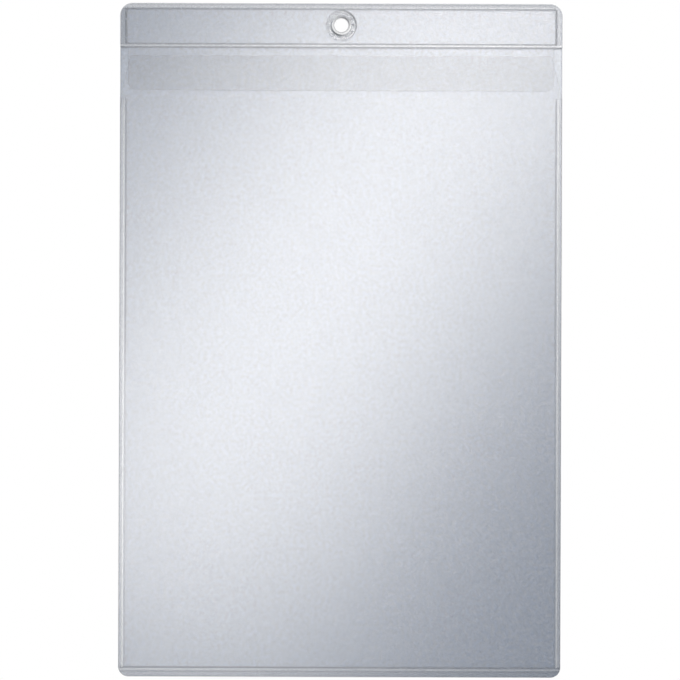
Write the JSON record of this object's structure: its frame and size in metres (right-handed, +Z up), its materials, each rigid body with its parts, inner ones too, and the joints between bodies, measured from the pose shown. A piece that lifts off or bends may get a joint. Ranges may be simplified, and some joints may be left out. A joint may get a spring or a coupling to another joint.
{
  "type": "hanging display pocket",
  "caption": "Flat clear film pocket for a page, with a welded header, a clear eyelet to hang it by and a closing flap over the mouth.",
  "frame": {"origin": "centre of the eyelet's hole, in the plane of the back film's front face", "axes": "+Z up along the pocket's height as it hangs, -Y towards the viewer in front of it, +X to that viewer's right"},
  "size_m": [0.221, 0.0047, 0.3366],
  "materials": {
    "film": "clear film with a faint blue-grey cast and a fine satin grain",
    "weld": "the same film melted into one strip, a little greyer",
    "eyelet": "clear moulded plastic, glossy"
  },
  "bodies": {
    "pocket": {"back_film": "film", "front_film": "film", "header_film": "film", "header_weld_top": "weld", "header_weld_left": "weld", "header_weld_right": "weld", "header_weld_seam": "weld", "pocket_weld_left": "weld", "pocket_weld_right": "weld", "pocket_weld_bottom": "weld", "eyelet_front": "eyelet", "eyelet_back": "eyelet"},
    "flap": {"closing_flap": "film"},
    "lip": {"front_lip": "film"}
  },
  "joints": [
    {"name": "flap_lift", "type": "hinge", "parent": "pocket", "child": "flap", "pos_m": [0, -0.0014, -0.01105], "axis": [-1, 0, 0], "range_deg": [0, 150], "stiffness_Nm_per_rad": 0.002},
    {"name": "lip_bend", "type": "hinge", "parent": "pocket", "child": "lip", "pos_m": [0, -0.0009, -0.0359], "axis": [1, 0, 0], "range_deg": [0, 22.5]}
  ],
  "couplings": [
    {"joint": "lip_bend", "follows": "flap_lift", "ratio": 0.15}
  ]
}
